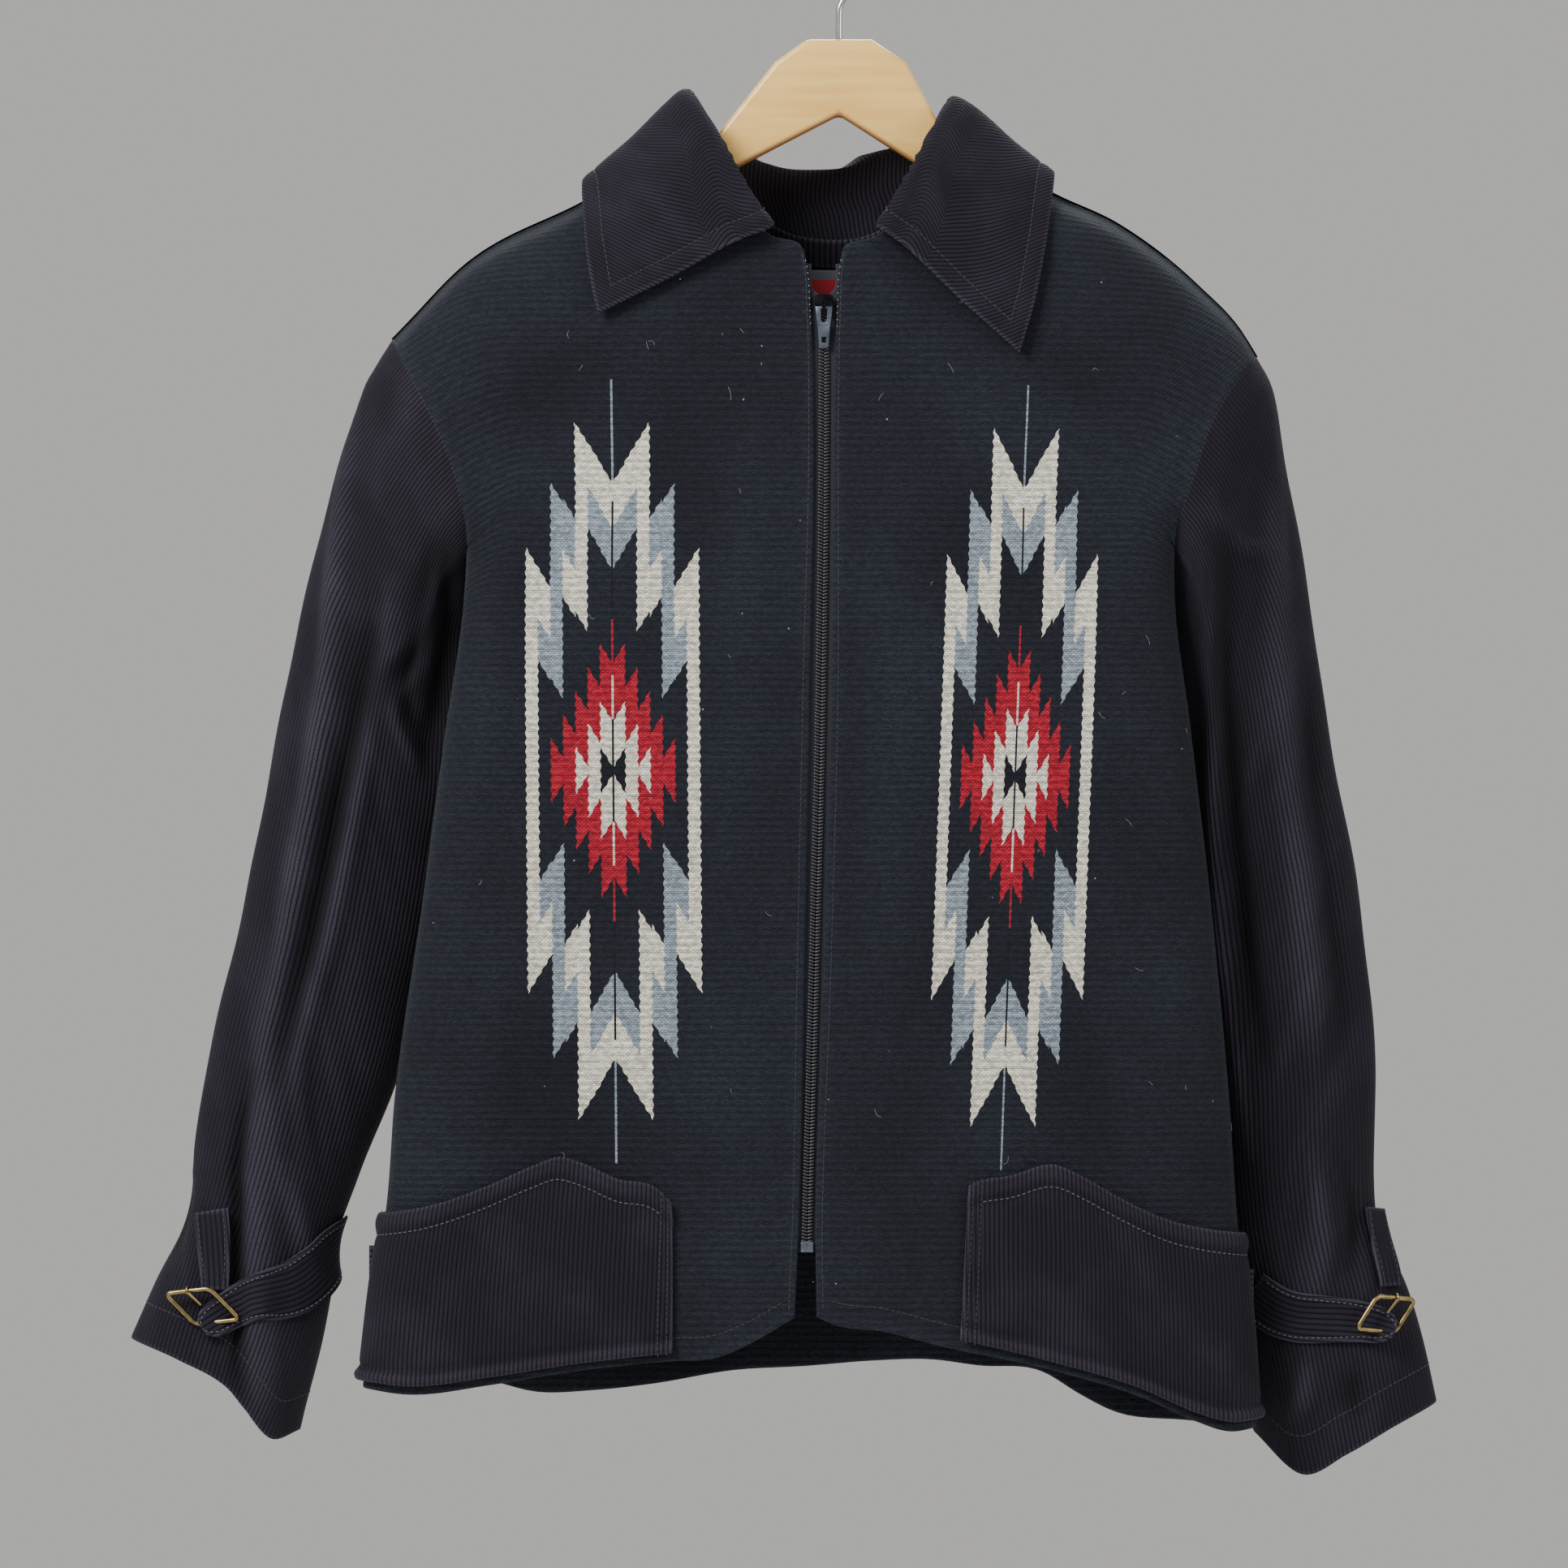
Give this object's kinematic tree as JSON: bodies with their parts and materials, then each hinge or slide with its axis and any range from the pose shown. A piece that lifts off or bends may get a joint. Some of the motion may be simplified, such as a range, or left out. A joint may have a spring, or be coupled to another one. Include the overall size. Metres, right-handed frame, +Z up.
{
  "type": "zip jacket on a hanger",
  "caption": "Waist-length jacket of hand-woven wool with a stepped diamond figure on each front, corduroy sleeves, collar and pockets, zip front, hung on a wooden hanger.",
  "frame": {"origin": "inside of the top of the hanger's hook, in the middle of its wire", "axes": "+Z up, -Y the jacket's front, +X the wearer's left"},
  "size_m": [0.7295, 0.1054, 0.8687],
  "materials": {
    "wool": "hand-woven, napped",
    "corduroy": "fine wale pile",
    "tape": "woven",
    "coil": "moulded",
    "label": "woven",
    "black_metal": "satin enamel",
    "grey_metal": "satin",
    "brass": "antique",
    "wood": "varnished",
    "hook_steel": "polished"
  },
  "bodies": {
    "jacket": {"back": "wool", "collar": "corduroy", "hanger": "wood", "hanger_hook": "hook_steel", "label": "label", "left_buckle_tab": "corduroy", "left_cuff_buckle": "brass", "left_cuff_strap": "corduroy", "left_front": "wool", "left_pocket": "corduroy", "left_side_tab": "corduroy", "left_sleeve": "corduroy", "neck_facing": "corduroy", "right_buckle_tab": "corduroy", "right_cuff_buckle": "brass", "right_cuff_strap": "corduroy", "right_front": "wool", "right_pocket": "corduroy", "right_side_tab": "corduroy", "right_sleeve": "corduroy", "zip_box": "grey_metal", "zip_coil": "coil", "zip_slider": "black_metal", "zip_tape_left": "tape", "zip_tape_right": "tape"},
    "zip_pull": {"zip_pull": "grey_metal"}
  },
  "joints": [
    {"name": "pull_swing", "type": "hinge", "parent": "jacket", "child": "zip_pull", "pos_m": [-0.00858, -0.04289, -0.2216], "axis": [-1, 0, 0], "range_deg": [0, 150]}
  ]
}
